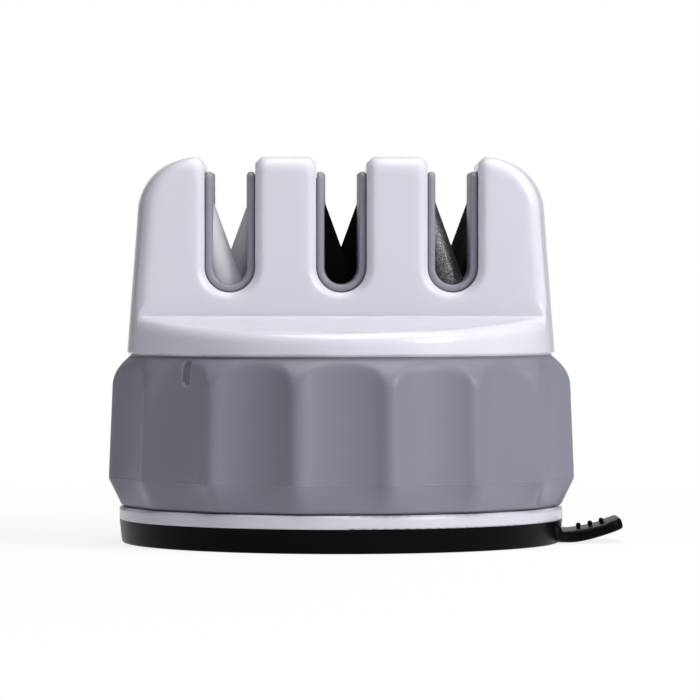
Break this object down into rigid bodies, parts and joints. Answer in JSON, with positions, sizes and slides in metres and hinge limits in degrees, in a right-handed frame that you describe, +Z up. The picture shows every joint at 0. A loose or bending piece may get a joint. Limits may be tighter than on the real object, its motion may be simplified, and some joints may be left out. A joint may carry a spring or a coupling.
{
  "type": "manual knife sharpener",
  "caption": "Countertop knife sharpener: white slotted housing with crossed ceramic, carbide and diamond abrasives on a fluted twist ring that locks a rubber suction base.",
  "frame": {"origin": "on the axis of the round base, at the underside of the suction pad", "axes": "+Z up along the axis, +X towards the release tab, -Y towards the front that the picture shows"},
  "size_m": [0.0819, 0.0738, 0.0612],
  "materials": {
    "housing_white": "glossy moulded ABS",
    "base_white": "glossy moulded ABS",
    "liner_grey": "satin moulded plastic",
    "ring_grey": "satin soft-touch plastic",
    "pad_rubber": "smooth black rubber",
    "ceramic_white": "matt fine ceramic",
    "carbide_black": "dark ground carbide",
    "diamond_grey": "coated with diamond grit",
    "inner_plastic": "natural moulded plastic",
    "steel": "zinc plated"
  },
  "bodies": {
    "sharpener": {"top_housing": "housing_white", "housing_floor": "inner_plastic", "slot_liner_fine": "liner_grey", "slot_liner_medium": "liner_grey", "slot_liner_coarse": "liner_grey", "ceramic_rod_front": "ceramic_white", "ceramic_rod_rear": "ceramic_white", "carbide_plate_front": "carbide_black", "carbide_plate_rear": "carbide_black", "diamond_rod_front": "diamond_grey", "diamond_rod_rear": "diamond_grey", "tube_screws": "steel", "base_plate": "base_white", "return_spring": "steel", "suction_pad": "pad_rubber"},
    "lock_ring": {"lock_ring": "ring_grey"},
    "lift_core": {"lift_yoke": "inner_plastic", "yoke_screw": "steel", "yoke_washer": "steel", "pad_core": "inner_plastic"},
    "release_tab": {"release_tab": "pad_rubber"}
  },
  "joints": [
    {"name": "ring_turn", "type": "hinge", "parent": "sharpener", "child": "lock_ring", "pos_m": [0, 0, 0.0179], "axis": [0, 0, 1], "range_deg": [0, 75]},
    {"name": "core_lift", "type": "slide", "parent": "sharpener", "child": "lift_core", "axis": [0, 0, 1], "range_m": [0, 0.003], "deforming": ["return_spring"]},
    {"name": "tab_flex", "type": "hinge", "parent": "sharpener", "child": "release_tab", "pos_m": [0.0364, 0, 0.00235], "axis": [0, -1, 0], "range_deg": [0, 60], "stiffness_Nm_per_rad": 0.01}
  ],
  "couplings": [
    {"joint": "ring_turn", "follows": "core_lift", "rad_per_m": 436.3}
  ]
}
